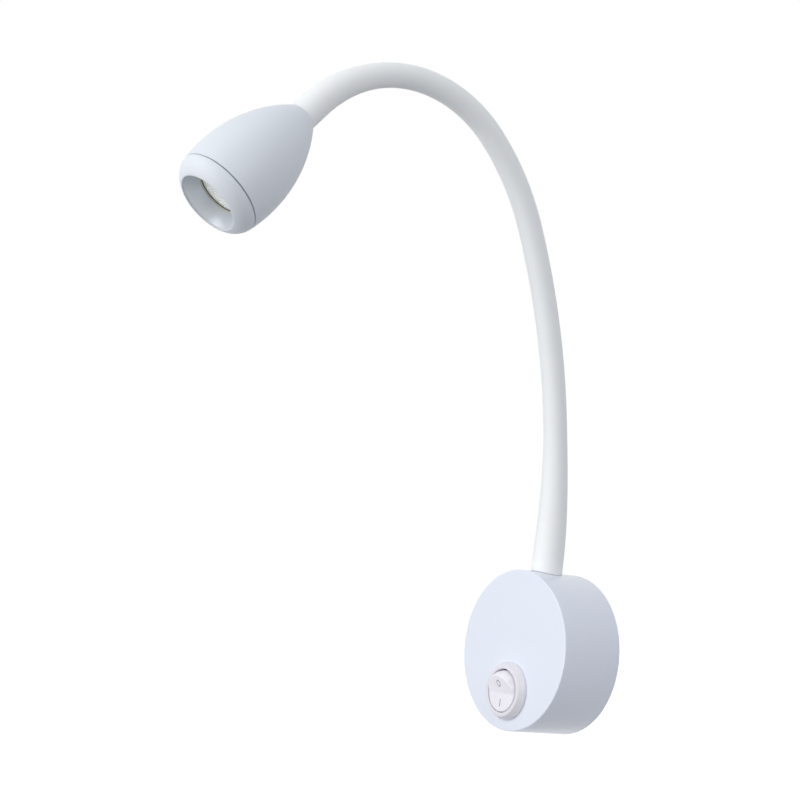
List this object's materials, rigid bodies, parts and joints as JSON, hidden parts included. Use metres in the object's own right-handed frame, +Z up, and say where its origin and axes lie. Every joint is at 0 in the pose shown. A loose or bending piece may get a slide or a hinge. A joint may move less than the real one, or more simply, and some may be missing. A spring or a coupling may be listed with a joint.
{
  "type": "wall reading lamp",
  "caption": "Round wall-mounted reading lamp with a bendable gooseneck, a small spotlight head and a round rocker switch on the base.",
  "frame": {"origin": "centre of the base's back face, on the wall", "axes": "+Y into the wall, -Y out into the room, +Z up along the neck where it leaves the base, +X to the right of a person facing the lamp"},
  "size_m": [0.064, 0.2015, 0.2497],
  "materials": {
    "painted_metal": "satin white powder coat",
    "steel": "zinc plated",
    "core_steel": "wound spring steel wire",
    "brass": "bare brass",
    "rubber_grey": "matt moulded rubber",
    "sleeve_white": "matt white silicone",
    "lead_sheath": "soft PVC sheath",
    "block_plastic": "moulded nylon",
    "driver_plastic": "moulded, matt",
    "foam_tape": "soft foam",
    "circuit_board": "solder mask",
    "component_black": "moulded",
    "switch_white": "polished moulding",
    "aluminium": "turned",
    "board_white": "white solder mask",
    "led_phosphor": "phosphor under clear silicone",
    "holder_plastic": "moulded",
    "lens_clear": "clear moulded acrylic",
    "reflector_gloss": "polished white"
  },
  "bodies": {
    "base": {"base_housing": "painted_metal", "mounting_dish": "steel", "inlet_grommet": "rubber_grey", "set_screw": "steel", "earth_screw": "brass", "terminal_block": "block_plastic", "terminal_screws": "steel", "driver_case": "driver_plastic", "driver_lid": "driver_plastic", "driver_tape": "foam_tape", "driver_board": "circuit_board", "driver_components": "component_black", "switch_body": "switch_white", "switch_terminals": "brass", "neck_foot_fitting": "steel", "foot_washer": "steel", "foot_nut": "steel", "neck_sleeve": "sleeve_white", "neck_lead": "lead_sheath"},
    "rocker": {"switch_rocker": "switch_white", "switch_spring": "steel", "contact_leaf": "brass"},
    "neck_01": {"neck_link_01": "core_steel"},
    "neck_02": {"neck_link_02": "core_steel"},
    "neck_03": {"neck_link_03": "core_steel"},
    "neck_04": {"neck_link_04": "core_steel"},
    "neck_05": {"neck_link_05": "core_steel"},
    "neck_06": {"neck_link_06": "core_steel"},
    "neck_07": {"neck_link_07": "core_steel"},
    "neck_08": {"neck_link_08": "core_steel"},
    "neck_09": {"neck_link_09": "core_steel"},
    "neck_10": {"neck_link_10": "core_steel"},
    "neck_11": {"neck_link_11": "core_steel"},
    "neck_12": {"neck_link_12": "core_steel"},
    "neck_13": {"neck_link_13": "core_steel"},
    "neck_14": {"neck_link_14": "core_steel"},
    "neck_15": {"neck_link_15": "core_steel"},
    "neck_16": {"neck_link_16": "core_steel"},
    "neck_17": {"neck_link_17": "core_steel"},
    "neck_18": {"neck_link_18": "core_steel"},
    "neck_19": {"neck_link_19": "core_steel"},
    "neck_20": {"neck_link_20": "core_steel"},
    "neck_21": {"neck_link_21": "core_steel"},
    "head": {"head_shell": "painted_metal", "head_fitting": "steel", "head_nut": "steel", "heat_sink": "aluminium", "led_board": "board_white", "led_emitter": "led_phosphor", "board_screws": "steel", "lens_holder": "holder_plastic", "lens": "lens_clear", "trim_ring": "brass", "reflector_cone": "reflector_gloss", "bezel_ring": "painted_metal"}
  },
  "joints": [
    {"name": "rocker_tilt", "type": "hinge", "parent": "base", "child": "rocker", "pos_m": [0, -0.0281, -0.0163], "axis": [1, 0, 0], "range_deg": [-27, 0]},
    {"name": "lower_bend_01", "type": "hinge", "parent": "base", "child": "neck_01", "pos_m": [0, -0.01566, 0.046], "axis": [1, 0, 0], "range_deg": [-4.5, 12], "deforming": ["neck_sleeve", "neck_lead"]},
    {"name": "lower_sway_01", "type": "hinge", "parent": "neck_01", "child": "neck_02", "pos_m": [0, -0.01632, 0.06048], "axis": [0, 0.9975, 0.0706], "range_deg": [-14, 14], "deforming": ["neck_sleeve", "neck_lead"]},
    {"name": "lower_bend_02", "type": "hinge", "parent": "neck_02", "child": "neck_03", "pos_m": [0, -0.01771, 0.07491], "axis": [1, 0, 0], "range_deg": [-4.55, 12.05]},
    {"name": "lower_sway_02", "type": "hinge", "parent": "neck_03", "child": "neck_04", "pos_m": [0, -0.01981, 0.08926], "axis": [0, 0.9855, 0.1699], "range_deg": [-14.05, 14.05]},
    {"name": "lower_bend_03", "type": "hinge", "parent": "neck_04", "child": "neck_05", "pos_m": [0, -0.02263, 0.10348], "axis": [1, 0, 0], "range_deg": [-4.55, 12.05]},
    {"name": "lower_sway_03", "type": "hinge", "parent": "neck_05", "child": "neck_06", "pos_m": [0, -0.02616, 0.11754], "axis": [0, 0.9636, 0.2674], "range_deg": [-14.05, 14.05]},
    {"name": "lower_bend_04", "type": "hinge", "parent": "neck_06", "child": "neck_07", "pos_m": [0, -0.03038, 0.13141], "axis": [1, 0, 0], "range_deg": [-4.55, 12.05]},
    {"name": "lower_sway_04", "type": "hinge", "parent": "neck_07", "child": "neck_08", "pos_m": [0, -0.0353, 0.14505], "axis": [0, 0.9321, 0.3623], "range_deg": [-14.05, 14.05]},
    {"name": "lower_bend_05", "type": "hinge", "parent": "neck_08", "child": "neck_09", "pos_m": [0, -0.04089, 0.15843], "axis": [1, 0, 0], "range_deg": [-4.55, 12.05]},
    {"name": "upper_sway_01", "type": "hinge", "parent": "neck_09", "child": "neck_10", "pos_m": [0, -0.04538, 0.16799], "axis": [0, 0.8945, 0.447], "range_deg": [-5, 5], "deforming": ["neck_sleeve", "neck_lead"]},
    {"name": "upper_bend_01", "type": "hinge", "parent": "neck_10", "child": "neck_11", "pos_m": [0, -0.05059, 0.17718], "axis": [1, 0, 0], "range_deg": [-13.9, 4.4], "deforming": ["neck_sleeve", "neck_lead"]},
    {"name": "upper_sway_02", "type": "hinge", "parent": "neck_11", "child": "neck_12", "pos_m": [0, -0.05674, 0.18576], "axis": [0, 0.7809, 0.6247], "range_deg": [-5.05, 5.05]},
    {"name": "upper_bend_02", "type": "hinge", "parent": "neck_12", "child": "neck_13", "pos_m": [0, -0.06377, 0.19365], "axis": [1, 0, 0], "range_deg": [-13.95, 4.45]},
    {"name": "upper_sway_03", "type": "hinge", "parent": "neck_13", "child": "neck_14", "pos_m": [0, -0.07161, 0.2007], "axis": [0, 0.611, 0.7917], "range_deg": [-5.05, 5.05]},
    {"name": "upper_bend_03", "type": "hinge", "parent": "neck_14", "child": "neck_15", "pos_m": [0, -0.08051, 0.20638], "axis": [1, 0, 0], "range_deg": [-13.95, 4.45]},
    {"name": "upper_sway_04", "type": "hinge", "parent": "neck_15", "child": "neck_16", "pos_m": [0, -0.09027, 0.21038], "axis": [0, 0.2947, 0.9556], "range_deg": [-5.05, 5.05]},
    {"name": "upper_bend_04", "type": "hinge", "parent": "neck_16", "child": "neck_17", "pos_m": [0, -0.10059, 0.21257], "axis": [1, 0, 0], "range_deg": [-13.95, 4.45]},
    {"name": "upper_sway_05", "type": "hinge", "parent": "neck_17", "child": "neck_18", "pos_m": [0, -0.11114, 0.2129], "axis": [0, -0.0589, 0.9983], "range_deg": [-5.05, 5.05]},
    {"name": "upper_bend_05", "type": "hinge", "parent": "neck_18", "child": "neck_19", "pos_m": [0, -0.12157, 0.21133], "axis": [1, 0, 0], "range_deg": [-13.95, 4.45]},
    {"name": "upper_sway_06", "type": "hinge", "parent": "neck_19", "child": "neck_20", "pos_m": [0, -0.13156, 0.20794], "axis": [0, -0.4051, 0.9143], "range_deg": [-5.05, 5.05]},
    {"name": "upper_bend_06", "type": "hinge", "parent": "neck_20", "child": "neck_21", "pos_m": [0, -0.14079, 0.20282], "axis": [1, 0, 0], "range_deg": [-13.95, 4.45]},
    {"name": "upper_sway_07", "type": "hinge", "parent": "neck_21", "child": "head", "pos_m": [0, -0.14895, 0.19614], "axis": [0, -0.6999, 0.7143], "range_deg": [-5.05, 5.05]}
  ],
  "couplings": [
    {"joint": "lower_bend_02", "follows": "lower_bend_01", "ratio": 1},
    {"joint": "lower_sway_02", "follows": "lower_sway_01", "ratio": 1},
    {"joint": "lower_bend_03", "follows": "lower_bend_01", "ratio": 1},
    {"joint": "lower_sway_03", "follows": "lower_sway_01", "ratio": 1},
    {"joint": "lower_bend_04", "follows": "lower_bend_01", "ratio": 1},
    {"joint": "lower_sway_04", "follows": "lower_sway_01", "ratio": 1},
    {"joint": "lower_bend_05", "follows": "lower_bend_01", "ratio": 1},
    {"joint": "upper_sway_02", "follows": "upper_sway_01", "ratio": 1},
    {"joint": "upper_bend_02", "follows": "upper_bend_01", "ratio": 1},
    {"joint": "upper_sway_03", "follows": "upper_sway_01", "ratio": 1},
    {"joint": "upper_bend_03", "follows": "upper_bend_01", "ratio": 1},
    {"joint": "upper_sway_04", "follows": "upper_sway_01", "ratio": 1},
    {"joint": "upper_bend_04", "follows": "upper_bend_01", "ratio": 1},
    {"joint": "upper_sway_05", "follows": "upper_sway_01", "ratio": 1},
    {"joint": "upper_bend_05", "follows": "upper_bend_01", "ratio": 1},
    {"joint": "upper_sway_06", "follows": "upper_sway_01", "ratio": 1},
    {"joint": "upper_bend_06", "follows": "upper_bend_01", "ratio": 1},
    {"joint": "upper_sway_07", "follows": "upper_sway_01", "ratio": 1}
  ]
}
